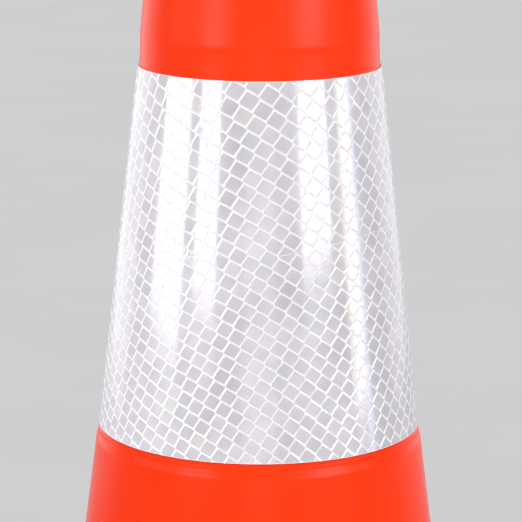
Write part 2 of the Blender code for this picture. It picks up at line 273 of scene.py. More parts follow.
def build_base():
    gap = 0.35
    angles = []
    for i in range(720):
        deg = i * 0.5
        corner = 30.0 < deg % 90.0 < 60.0
        if i % (2 if corner else 4) == 0:
            angles.append(math.radians(deg))
    lip = skirt_radius(RING_TOP_Z) + gap
    sec = []
    # lip of the ring, rolled over; then its slope and a cove at the foot
    for k in range(7):
        a = math.pi * (1 - k / 12)
        sec.append(("round", lip + 1.6 + 1.6 * math.cos(a), RING_TOP_Z - 1.6 + 1.6 * math.sin(a)))
    sec.append(("round", lip + 4.4, RING_TOP_Z))
    for k in range(9):
        t = k / 8
        a = math.radians(20) * t
        sec.append(("round", lip + 5.5 + 6.0 * math.sin(a) + 0.2 * t,
                    RING_TOP_Z - 6.0 * (1 - math.cos(a)) - 0.02))
    ring_foot = 166.0
    x0 = sec[-1][1]
    z0 = sec[-1][2]
    for k in range(1, 13):
        t = k / 12
        sec.append(("round", x0 + (ring_foot - x0) * t,
                    z0 + (BASE_TOP - z0) * (t + 0.10 * math.sin(2 * math.pi * t))))
    sec.append(("round", ring_foot + 2.0, BASE_TOP))
    # rounded top edge, side with a small draft, rounded lower edge
    edge = 5.0
    for k in range(10):
        a = math.pi / 2 * k / 9
        sec.append(("square", edge * (1 - math.sin(a)), BASE_TOP - edge * (1 - math.cos(a))))
    sec.append(("square", 0.0, BASE_UNDER + 6.0))
    for k in range(6):
        a = math.pi / 2 * k / 5
        sec.append(("square", 2.2 * (1 - math.cos(a)), BASE_UNDER + 2.2 * (1 - math.sin(a))))
    hole = 134.0
    sec += [("round", hole + 1.2, BASE_UNDER), ("round", hole, BASE_UNDER + 1.2),
            ("round", hole, FLANGE_BOTTOM - gap), ("round", FLANGE_R + gap, FLANGE_BOTTOM - gap),
            ("round", FLANGE_R + gap, FLANGE_TOP + gap)]
    neck = skirt_radius(FLANGE_TOP + 3.0) + gap
    for k in range(6):
        a = math.pi / 2 * k / 5
        sec.append(("round", neck + 3.0 * (1 - math.sin(a)), FLANGE_TOP + 3.0 + gap - 3.0 * math.cos(a)))
    verts, rings = [], []
    for kind, value, z in sec:
        rings.append(list(range(len(verts), len(verts) + len(angles))))
        for a in angles:
            r = value if kind == "round" else square_radius(a, value)
            verts.append((r * MM * math.cos(a), r * MM * math.sin(a), z * MM))
    faces = ring_faces(rings)

    def island(points_2d, lift):
        """Closed pill or disc: outlines at rising insets, capped at both ends."""
        start = len(verts)
        n = len(points_2d[0])
        for loop, z in zip(points_2d, lift):
            for x, y in loop:
                verts.append((x * MM, y * MM, z * MM))
        loops = [list(range(start + n * k, start + n * (k + 1))) for k in range(len(points_2d))]
        faces.extend(ring_faces(loops, closed_section=False))
        faces.append(tuple(loops[0]))
        faces.append(tuple(loops[-1]))

    def disc(cx, cy, r, n=48):
        return [(cx + r * math.cos(2 * math.pi * k / n), cy + r * math.sin(2 * math.pi * k / n))
                for k in range(n)]

    def pill(cx, cy, angle, length, width, inset, n=8):
        hw = width / 2 - inset
        hl = length / 2 - inset - hw
        pts = []
        for side, base in ((1, -math.pi / 2), (-1, math.pi / 2)):
            for k in range(n + 1):
                a = base + math.pi * k / n
                x, y = side * hl + hw * math.cos(a), hw * math.sin(a)
                pts.append((cx + x * math.cos(angle) - y * math.sin(angle),
                            cy + x * math.sin(angle) + y * math.cos(angle)))
        return pts

    for sx in (-1, 1):
        for sy in (-1, 1):
            # two round feet by each corner, chamfered, with a dished sole
            for x, y in ((152.0, 98.0), (98.0, 152.0)):
                cx, cy = sx * x, sy * y
                island([disc(cx, cy, 19.0), disc(cx, cy, 19.0), disc(cx, cy, 18.6),
                        disc(cx, cy, 17.6), disc(cx, cy, 12.0), disc(cx, cy, 11.2)],
                       [BASE_UNDER + 1.5, 1.4, 0.4, 0.0, 0.0, 0.8])
            # three ribs run out over the corner
            for turn in (-11.0, 0.0, 11.0):
                ang = math.radians(45.0 + turn)
                a = math.atan2(sy * math.sin(ang), sx * math.cos(ang))
                r1, r2 = ring_foot - 4.0, square_radius(ang, 14.0)
                cx, cy = (r1 + r2) / 2 * math.cos(a), (r1 + r2) / 2 * math.sin(a)
                length = r2 - r1
                prof = [(0.0, -1.5), (0.0, 0.6), (0.25, 2.0), (0.9, 3.2), (1.9, 3.85), (2.9, 4.0)]
                island([pill(cx, cy, a, length, 9.0, i) for i, _ in prof],
                       [BASE_TOP + h for _, h in prof])
    return make_object("base_moulding", verts, faces, 38)


# ------------------------------------------------------------ reflective sleeve
SIN_B = SLEEVE_SLOPE / math.hypot(1.0, SLEEVE_SLOPE)     # sine of the sleeve's half angle
R_MID = (R_TOP + R_BOTTOM) / 2
RHO_MID = R_MID / SIN_B
OVERLAP = 14.0
S_MIN, S_MAX = -math.pi * R_MID - OVERLAP / 2, math.pi * R_MID + OVERLAP / 2
LAP_RISE = FILM_T + PLY_GAP + BACK_T + 0.08

# Lattice of the film on the flat sheet: two cell-to-cell steps in mm, Y down.
# The cells are near-square and turned a little from the steps, so the rows
# stagger, and the embossing drifts slowly across the sheet.
STEP_1 = np.array([4.987, 3.270])
STEP_2 = np.array([2.112, -5.200])
EDGE_1 = math.radians(29.0)
EDGE_2 = math.radians(-55.5)
SEAL_WIDTH, BEVEL = 0.52, 0.18
CORNER = np.array([-26.824, -38.819])
DRIFT = ((1, 1, 3.069, -0.385), (2, 0, 0.706, -4.038), (0, 2, 0.095, 1.251),
         (2, 1, -0.687, -0.278), (1, 2, -0.327, -0.541), (3, 0, -0.568, 1.022),
         (0, 3, 0.291, -0.713))


def warp(x, y):
    """Where a point of the flat sheet lies on the film's even lattice."""
    high, low = 1.85, -0.95
    u = x / 50.0
    lim = np.where(u > 0, high, -low)
    u = u / (1.0 + np.abs(u / lim) ** 6) ** (1.0 / 6.0)
    v = np.clip(y / 50.0, -1.7, 1.7)
    wx, wy = x + CORNER[0], y + CORNER[1]
    for a, b, kx, ky in DRIFT:
        wx = wx + kx * u ** a * v ** b
        wy = wy + ky * u ** a * v ** b
    return wx, wy


def unwarp(xw, yw):
    x, y = xw - CORNER[0], yw - CORNER[1]
    for _ in range(40):
        fx, fy = warp(x, y)
        x, y = x + 0.9 * (xw - fx), y + 0.9 * (yw - fy)
    return x, y


def to_band(x, y):
    """Flat sheet to (s, z): distance round the mid circle, and height."""
    rho = np.hypot(x, RHO_MID + y)
    phi = np.arctan2(x, RHO_MID + y)
    z = SLEEVE_TOP - (rho * SIN_B - R_TOP) / SLEEVE_SLOPE
    return phi / SIN_B * R_MID, z


def from_band(s, z):
    rho = sleeve_radius(z) / SIN_B
    phi = s / R_MID * SIN_B
    return rho * np.sin(phi), rho * np.cos(phi) - RHO_MID


def lap(s):
    """Rise of the outer end of the sleeve over its inner end."""
    t = np.clip((s - (S_MAX - OVERLAP - 7.0)) / 6.0, 0, 1)
    return LAP_RISE * t * t * (3 - 2 * t)


def wrap(s, z, h):
    th = s / R_MID - math.pi / 2
    # the rims lie very slightly uneven, as a loose band does
    wave = 0.10 * np.sin(3 * th + 0.6) * np.exp(-(SLEEVE_TOP - z) / 12.0)
    r = R_TOP + SLEEVE_SLOPE * (SLEEVE_TOP - z) + h + lap(s) + wave
    return np.stack([r * np.cos(th), r * np.sin(th), z], -1) * MM


def stitch(outer, inner, key):
    """Triangles between two vertex rows that run the same way."""
    faces, i, j = [], 0, 0
    while i < len(outer) - 1 or j < len(inner) - 1:
        if j == len(inner) - 1 or (i < len(outer) - 1 and key[outer[i + 1]] <= key[inner[j + 1]]):
            faces.append((outer[i], outer[i + 1], inner[j]))
            i += 1
        else:
            faces.append((outer[i], inner[j + 1], inner[j]))
            j += 1
    return faces


def build_film():
    a1, a2 = STEP_1, STEP_2
    d1 = np.array([math.cos(EDGE_1), math.sin(EDGE_1)])
    d2 = np.array([math.cos(EDGE_2), math.sin(EDGE_2)])
    skew = abs(d1[0] * d2[1] - d1[1] * d2[0])
    # half sides of a cell: what the step leaves once the seal is taken off
    h1 = (abs(a1[0] * d2[1] - a1[1] * d2[0]) - SEAL_WIDTH) / skew / 2
    h2 = (abs(a2[0] * d1[1] - a2[1] * d1[0]) - SEAL_WIDTH) / skew / 2
    e1, e2 = d1 * h1, d2 * h2

    # one cell as a 7 by 7 grid: ring 0 is the seam grid, ring 1 the cell's
    # rounded outline, ring 2 the top of its soft edge, then its crown
    N = 7
    SIDE, TURN = 0.80, 0.925
    SPACING = (-1.0, -SIDE - 0.06, -SIDE, 0.0, SIDE, SIDE + 0.06, 1.0)
    cell = np.zeros((N, N, 2))
    seal = np.zeros((N, N))
    rise = np.zeros((N, N))
    local = np.zeros((N, N, 2))
    for a in range(N):
        for b in range(N):
            u, v = SPACING[a], SPACING[b]
            ring = 3 - max(abs(a - 3), abs(b - 3))
            if ring == 0:
                # sides run down the middle of the seals; corners meet in the
                # middle of the junction of four cells
                across, along = abs(a - 3) == 3, abs(b - 3) == 3
                if across and along:
                    cell[a, b] = a1 * u / 2 + a2 * v / 2
                elif across:
                    cell[a, b] = a1 * u / 2 + e2 * v
                else:
                    cell[a, b] = a2 * v / 2 + e1 * u
                seal[a, b], rise[a, b] = 1.0, -0.090
            elif ring == 1:
                p, q = (math.copysign(1.0, w) if abs(w) == 2 else SIDE * w for w in (a - 3, b - 3))
                if abs(p) == 1 and abs(q) == 1:
                    p, q = p * TURN, q * TURN
                cell[a, b] = e1 * p + e2 * q
                local[a, b] = p, q
                seal[a, b], rise[a, b] = 1.0, -0.045
            elif ring == 2:
                k1, k2 = 1 - BEVEL / h1, 1 - BEVEL / h2
                if abs(a - 3) == 1 and abs(b - 3) == 1:
                    k1, k2 = k1 * 0.945, k2 * 0.945
                cell[a, b] = e1 * (a - 3) * k1 + e2 * (b - 3) * k2
                local[a, b] = (a - 3) * k1, (b - 3) * k2
                seal[a, b], rise[a, b] = 0.0, 0.0
            else:
                seal[a, b], rise[a, b] = 0.0, 0.004
    # cells over the whole flat sheet
    span = 75
    keys, verts, faces = {}, [], []
    vseal, vrise, vcell, vlocal = [], [], [], []
    lattice = []
    for i in range(-span, span + 1):
        for j in range(-span, span + 1):
            c = a1 * (i + 0.5) + a2 * (j + 0.5)
            if abs(c[0] - CORNER[0]) < 235 and -150 < c[1] - CORNER[1] < 120:
                lattice.append((i, j, c))
    centres = np.array([c for _, _, c in lattice])
    ux, uy = unwarp(centres[:, 0], centres[:, 1])
    cs, cz = to_band(ux, uy)
    for (i, j, c), s, z in zip(lattice, cs, cz):
        if not (S_MIN - 8 < s < S_MAX + 8 and SLEEVE_BOTTOM - 8 < z < SLEEVE_TOP + 8):
            continue
        tone = rng.random()
        tilt = rng.normal(0, 0.0022, 2)
        ids = np.zeros((N, N), int)
        for a in range(N):
            for b in range(N):
                if a in (0, N - 1) or b in (0, N - 1):
                    # the middle of each seal is shared with the next cell
                    k = ((N - 1) * i + a, (N - 1) * j + b)
                    if k not in keys:
                        keys[k] = len(verts)
                        verts.append(c + cell[a, b])
                        vseal.append(1.0)
                        vrise.append(rise[a, b])
                        vcell.append(0.5)
                        vlocal.append((0.0, 0.0))
                    ids[a, b] = keys[k]
                else:
                    ids[a, b] = len(verts)
                    verts.append(c + cell[a, b])
                    vseal.append(seal[a, b])
                    lean = float(np.dot(tilt, cell[a, b])) if seal[a, b] == 0 else 0.0
                    vrise.append(rise[a, b] + lean)
                    vcell.append(tone)
                    vlocal.append(tuple(local[a, b]))
        for a in range(N - 1):
            for b in range(N - 1):
                faces.append((ids[a, b], ids[a + 1, b], ids[a + 1, b + 1], ids[a, b + 1]))
    v = np.array(verts)
    x, y = unwarp(v[:, 0], v[:, 1])
    s, z = to_band(x, y)

    # cut the sheet to its outline on the (s, z) plane
    mesh = bpy.data.meshes.new("film_flat")
    mesh.from_pydata(np.stack([s, z, np.zeros_like(s)], -1).tolist(), [], faces)
    bm = bmesh.new()
    bm.from_mesh(mesh)
    bpy.data.meshes.remove(mesh)
    bm.verts.ensure_lookup_table()
    l_seal = bm.verts.layers.float.new("seal")
    l_rise = bm.verts.layers.float.new("rise")
    l_cell = bm.verts.layers.float.new("cell")
    l_lu = bm.verts.layers.float.new("lu")
    l_lv = bm.verts.layers.float.new("lv")
    for vert, p, q, r, (lu, lv) in zip(bm.verts, vseal, vrise, vcell, vlocal):
        vert[l_seal], vert[l_rise], vert[l_cell] = p, q, r
        vert[l_lu], vert[l_lv] = lu, lv
    for co, no in (((0, SLEEVE_TOP, 0), (0, 1, 0)), ((0, SLEEVE_BOTTOM, 0), (0, -1, 0)),
                   ((S_MIN, 0, 0), (-1, 0, 0)), ((S_MAX, 0, 0), (1, 0, 0))):
        bmesh.ops.bisect_plane(bm, geom=bm.verts[:] + bm.edges[:] + bm.faces[:], dist=1e-4,
                               plane_co=co, plane_no=no, clear_outer=True)
    bmesh.ops.remove_doubles(bm, verts=bm.verts[:], dist=0.004)
    bmesh.ops.dissolve_degenerate(bm, edges=bm.edges[:], dist=0.002)
    bm.verts.ensure_lookup_table()
    bm.verts.index_update()
    S = np.array([w.co.x for w in bm.verts])
    Z = np.array([w.co.y for w in bm.verts])
    seal_v = np.array([w[l_seal] for w in bm.verts])
    rise_v = np.array([w[l_rise] for w in bm.verts])
    cell_v = np.array([w[l_cell] for w in bm.verts])
    local_v = np.array([(w[l_lu], w[l_lv], 0.0) for w in bm.verts])
    out_faces = [tuple(w.index for w in f.verts) for f in bm.faces]
    edge_verts = {w.index for e in bm.edges if e.is_boundary for w in e.verts}
    bm.free()
    tol = 0.02
    top = sorted((i for i in edge_verts if abs(Z[i] - SLEEVE_TOP) < tol), key=lambda i: S[i])
    bot = sorted((i for i in edge_verts if abs(Z[i] - SLEEVE_BOTTOM) < tol), key=lambda i: S[i])
    left = sorted((i for i in edge_verts if abs(S[i] - S_MIN) < tol), key=lambda i: Z[i])
    right = sorted((i for i in edge_verts if abs(S[i] - S_MAX) < tol), key=lambda i: Z[i])
    outer = wrap(S, Z, rise_v)
    # plain inner face of the film
    n = len(S)
    inner_s = np.linspace(S_MIN, S_MAX, 181)
    m = len(inner_s)
    rows = [SLEEVE_TOP, SLEEVE_BOTTOM]
    inner = [wrap(inner_s, np.full(m, zz), np.full(m, -FILM_T)) for zz in rows]
    it = list(range(n, n + m))
    ib = list(range(n + m, n + 2 * m))
    all_verts = np.concatenate([outer] + inner)
    keys_s = dict(enumerate(np.concatenate([S, inner_s, inner_s])))
    keys_z = dict(enumerate(np.concatenate([Z, np.full(m, SLEEVE_TOP), np.full(m, SLEEVE_BOTTOM)])))
    new = []
    new += stitch(top, it, keys_s) + stitch(bot, ib, keys_s)
    new += stitch(left, [ib[0], it[0]], keys_z) + stitch(right, [ib[-1], it[-1]], keys_z)
    new += [(it[k], it[k + 1], ib[k + 1], ib[k]) for k in range(m - 1)]
    obj = make_object("sleeve_film", all_verts.tolist(), out_faces + new, 50)
    mesh = obj.data
    full_s = np.concatenate([S, inner_s, inner_s])
    full_z = np.concatenate([Z, np.full(m, SLEEVE_TOP), np.full(m, SLEEVE_BOTTOM)])
    dx, dy = from_band(full_s, full_z)
    dev = np.stack([dx, dy, full_s], -1) * MM
    full_seal = np.concatenate([seal_v, np.ones(2 * m)])
    full_rise = np.concatenate([rise_v, np.full(2 * m, -FILM_T)])
    for name, values in (("seal", full_seal), ("cell", np.concatenate([cell_v, np.full(2 * m, 0.5)])),
                         ("height", (full_z - SLEEVE_BOTTOM) / SLEEVE_H)):
        at = mesh.attributes.new(name, "FLOAT", "POINT")
        at.data.foreach_set("value", values.astype(np.float32))
    for name, values in (("dev", dev), ("local", np.concatenate([local_v, np.zeros((2 * m, 3))]))):
        at = mesh.attributes.new(name, "FLOAT_VECTOR", "POINT")
        at.data.foreach_set("vector", values.astype(np.float32).ravel())

    # the face of the film is one smooth skin: its normals follow the cone,
    # and only the narrow bevels round the cells keep their own slope
    count = len(mesh.loops)
    vi = np.empty(count, np.int32)
    mesh.loops.foreach_get("vertex_index", vi)
    loop_poly = np.empty(count, np.int32)
    total = np.empty(len(mesh.polygons), np.int32)
    mesh.polygons.foreach_get("loop_total", total)
    loop_poly = np.repeat(np.arange(len(total)), total)
    pn = np.empty(len(total) * 3, np.float32)
    mesh.polygons.foreach_get("normal", pn)
    pn = pn.reshape(-1, 3)
    co = np.empty(len(mesh.vertices) * 3, np.float32)
    mesh.vertices.foreach_get("co", co)
    co = co.reshape(-1, 3)
    rad = np.hypot(co[:, 0], co[:, 1])
    cone_n = np.stack([co[:, 0] / rad, co[:, 1] / rad, np.full(len(rad), SLEEVE_SLOPE)], -1)
    cone_n /= np.linalg.norm(cone_n, axis=1)[:, None]
    lo = np.full(len(total), 2.0)
    hi = np.full(len(total), -1.0)
    np.minimum.at(lo, loop_poly, full_rise[vi])
    np.maximum.at(hi, loop_poly, full_rise[vi])
    outward = np.einsum("ij,ij->i", pn[loop_poly], cone_n[vi])
    bevel = (hi - lo)[loop_poly] > 0.02
    lapped = (lap(full_s) > 0.01) & (lap(full_s) < LAP_RISE - 0.01)
    smooth = (outward > 0.97) & ~bevel & ~lapped[vi]
    normals = np.where(smooth[:, None], cone_n[vi], pn[loop_poly])
    mesh.normals_split_custom_set(normals.tolist())
    return obj


def build_backing():
    n = 361
    s = np.linspace(S_MIN, S_MAX, n)
    rows = np.linspace(SLEEVE_TOP, SLEEVE_BOTTOM, 7)
    out_h, in_h = -(FILM_T + PLY_GAP), -(FILM_T + PLY_GAP + BACK_T)
    grid = [wrap(s, np.full(n, z), np.full(n, out_h)) for z in rows]
    grid += [wrap(s, np.full(n, z), np.full(n, in_h)) for z in rows[::-1]]
    verts = np.concatenate(grid)
    k = len(grid)
    faces = []
    for a in range(k):
        b = (a + 1) % k
        for i in range(n - 1):
            faces.append((a * n + i, a * n + i + 1, b * n + i + 1, b * n + i))
    for a in range(len(rows) - 1):
        c = k - 1 - a
        d = c - 1
        for i in (0, n - 1):
            faces.append((a * n + i, (a + 1) * n + i, d * n + i, c * n + i))
    return make_object("sleeve_back_sheet", verts.tolist(), faces, 40)


# ------------------------------------------------------------ node helpers
class Nodes:
    def __init__(self, name):
        self.mat = bpy.data.materials.new(name)
        self.mat.use_nodes = True
        self.tree = self.mat.node_tree
        self.shader = self.tree.nodes["Principled BSDF"]

    def new(self, kind, **values):
        node = self.tree.nodes.new(kind)
        for key, value in values.items():
            setattr(node, key, value)
        return node

    def link(self, a, b):
        self.tree.links.new(a, b)
        return b

    def put(self, socket, value):
        if isinstance(value, bpy.types.NodeSocket):
            self.link(value, socket)
        elif value is not None:
            socket.default_value = value

    def math(self, op, a, b=None, c=None, clamp=False):
        node = self.new("ShaderNodeMath", operation=op, use_clamp=clamp)
        for sock, v in zip(node.inputs, (a, b, c)):
            self.put(sock, v)
        return node.outputs[0]

    def vmath(self, op, a, b=None, scale=None):
        node = self.new("ShaderNodeVectorMath", operation=op)
        self.put(node.inputs[0], a)
        self.put(node.inputs[1], b)
        if scale is not None:
            self.put(node.inputs["Scale"], scale)
        return node.outputs[1] if op in ("DOT_PRODUCT", "LENGTH", "DISTANCE") else node.outputs[0]

    def noise(self, vector, scale, detail=2.0, rough=0.5, distortion=0.0):
        node = self.new("ShaderNodeTexNoise")
        self.put(node.inputs["Vector"], vector)
        node.inputs["Scale"].default_value = scale
        node.inputs["Detail"].default_value = detail
        node.inputs["Roughness"].default_value = rough
        node.inputs["Distortion"].default_value = distortion
        return node.outputs["Fac"]

    def mix(self, fac, a, b, blend="MIX"):
        node = self.new("ShaderNodeMix", data_type="RGBA", blend_type=blend)
        self.put(node.inputs["Factor"], fac)
        self.put(node.inputs["A"] if False else node.inputs[6], a)
        self.put(node.inputs[7], b)
        return node.outputs[2]

    def ramp(self, value, low, high, out_low=0.0, out_high=1.0):
        node = self.new("ShaderNodeMapRange", clamp=True, interpolation_type="SMOOTHSTEP")
        self.put(node.inputs["Value"], value)
        for key, v in (("From Min", low), ("From Max", high), ("To Min", out_low), ("To Max", out_high)):
            self.put(node.inputs[key], v)
        return node.outputs["Result"]

    def bump(self, height, strength, distance, normal=None):
        node = self.new("ShaderNodeBump")
        self.put(node.inputs["Height"], height)
        node.inputs["Strength"].default_value = strength
        node.inputs["Distance"].default_value = distance
        self.put(node.inputs["Normal"], normal)
        return node.outputs["Normal"]

    def coords(self):
        return self.new("ShaderNodeTexCoord").outputs["Object"]

    def attribute(self, name):
        node = self.new("ShaderNodeAttribute", attribute_type="GEOMETRY", attribute_name=name)
        return node

    def set(self, **values):
        for key, value in values.items():
            self.put(self.shader.inputs[key.replace("_", " ")], value)


def rgba(r, g, b):
    return (r, g, b, 1.0)


# ------------------------------------------------------------ materials
def pvc_material():
    m = Nodes("red_pvc_moulded")
    co = m.coords()
    sep = m.new("ShaderNodeSeparateXYZ")
    m.link(co, sep.inputs[0])
    z = sep.outputs["Z"]
    broad = m.noise(co, 9.0, 3.0, 0.55)
    colour = m.mix(m.ramp(broad, 0.3, 0.7), rgba(0.98, 0.034, 0.0003), rgba(1.0, 0.042, 0.0012))
    # flow streaks of the moulding run down from the tip
    stretched = m.vmath("MULTIPLY", co, (1.0, 1.0, 0.06))
    streak = m.noise(stretched, 160.0, 3.0, 0.6)
    colour = m.mix(m.ramp(streak, 0.45, 0.8, 0.0, 0.10), colour, rgba(1.0, 0.050, 0.012))
    # rubbed and dusty towards the skirt
    low = m.ramp(z, 0.05, 0.26, 1.0, 0.0)
    dust = m.math("MULTIPLY", m.ramp(m.noise(co, 26.0, 12.0, 0.74), 0.46, 0.80), low)
    colour = m.mix(m.math("MULTIPLY", dust, 0.22), colour, rgba(0.45, 0.15, 0.09))
    scratch_co = m.vmath("MULTIPLY", co, (1.0, 1.0, 0.12))
    scratch = m.ramp(m.noise(scratch_co, 420.0, 2.0, 0.7, 0.6), 0.69, 0.73)
    rub = m.math("MULTIPLY", scratch, m.ramp(m.noise(co, 14.0, 2.0), 0.52, 0.66))
    rub = m.math("MULTIPLY", rub, m.ramp(z, 0.10, 0.40, 0.75, 0.06))
    colour = m.mix(m.math("MULTIPLY", rub, 0.5), colour, rgba(0.98, 0.26, 0.17))
    rough = m.ramp(m.noise(co, 40.0, 4.0, 0.6), 0.3, 0.75, 0.23, 0.30)
    rough = m.math("ADD", rough, m.math("MULTIPLY", dust, 0.22))
    rough = m.math("ADD", rough, m.math("MULTIPLY", rub, 0.15), clamp=True)
    peel = m.noise(co, 520.0, 2.0, 0.5)
    sink = m.noise(m.vmath("MULTIPLY", co, (1.0, 1.0, 0.35)), 26.0, 2.0, 0.5)
    normal = m.bump(peel, 0.16, 0.0004)
    normal = m.bump(sink, 0.10, 0.004, normal)
    normal = m.bump(rub, -0.12, 0.0004, normal)
    m.set(Base_Color=colour, Roughness=rough, Normal=normal)
    m.shader.inputs["IOR"].default_value = 1.50
    m.shader.inputs["Specular IOR Level"].default_value = 0.12
    return m.mat


def rubber_material():
    m = Nodes("black_rubber_moulded")
    co = m.coords()
    grain = m.noise(co, 620.0, 3.0, 0.7)
    pebble = m.new("ShaderNodeTexVoronoi", feature="SMOOTH_F1")
    m.link(co, pebble.inputs["Vector"])
    pebble.inputs["Scale"].default_value = 430.0
    pebble.inputs["Smoothness"].default_value = 0.35
    lumps = m.noise(co, 60.0, 4.0, 0.6)
    cloud = m.noise(co, 7.0, 6.0, 0.62)
    geo = m.new("ShaderNodeNewGeometry")
    up = m.new("ShaderNodeSeparateXYZ")
    m.link(geo.outputs["Normal"], up.inputs[0])
    facing = m.ramp(up.outputs["Z"], 0.55, 0.98)
    colour = m.mix(m.ramp(cloud, 0.3, 0.75), rgba(0.0115, 0.0115, 0.0118), rgba(0.0175, 0.0172, 0.0170))
    # fine dust settles on the flats, in the grain's hollows first
    dust = m.math("MULTIPLY", m.ramp(m.noise(co, 24.0, 12.0, 0.74), 0.46, 0.80), facing)
    dust = m.math("MULTIPLY", dust, m.ramp(grain, 0.30, 0.62, 1.0, 0.35))
    colour = m.mix(m.math("MULTIPLY", dust, 0.30), colour, rgba(0.10, 0.096, 0.09))
    # pale crumbs of the recycled rubber
    crumb_at = m.new("ShaderNodeTexVoronoi", feature="F1")
    m.link(co, crumb_at.inputs["Vector"])
    crumb_at.inputs["Scale"].default_value = 260.0
    crumb = m.ramp(crumb_at.outputs["Distance"], 0.06, 0.20, 1.0, 0.0)
    chance = m.new("ShaderNodeSeparateColor")
    m.link(crumb_at.outputs["Color"], chance.inputs[0])
    crumb = m.math("MULTIPLY", crumb, m.ramp(chance.outputs[0], 0.86, 0.90))
    colour = m.mix(m.math("MULTIPLY", crumb, 0.55), colour, rgba(0.085, 0.083, 0.08))
    # rubbed paler where the edges stand proud
    edge = m.ramp(geo.outputs["Pointiness"], 0.510, 0.545)
    wear = m.math("MULTIPLY", edge, m.ramp(m.noise(co, 140.0, 6.0, 0.75), 0.38, 0.66))
    colour = m.mix(m.math("MULTIPLY", wear, 0.45), colour, rgba(0.060, 0.059, 0.058))
    scuff = m.noise(m.vmath("MULTIPLY", co, (1.0, 0.10, 1.0)), 300.0, 2.0, 0.7, 0.5)
    scuff = m.math("MULTIPLY", m.ramp(scuff, 0.68, 0.73), m.ramp(m.noise(co, 12.0, 2.0), 0.50, 0.62))
    colour = m.mix(m.math("MULTIPLY", scuff, 0.35), colour, rgba(0.075, 0.073, 0.07))
    rough = m.ramp(cloud, 0.3, 0.7, 0.50, 0.60)
    rough = m.math("ADD", rough, m.math("MULTIPLY", dust, 0.25), clamp=True)
    normal = m.bump(pebble.outputs["Distance"], 0.35, 0.0005)
    normal = m.bump(grain, 0.22, 0.0005, normal)
    normal = m.bump(lumps, 0.06, 0.0012, normal)
    m.set(Base_Color=colour, Roughness=rough, Normal=normal)
    m.shader.inputs["Specular IOR Level"].default_value = 0.45
    return m.mat


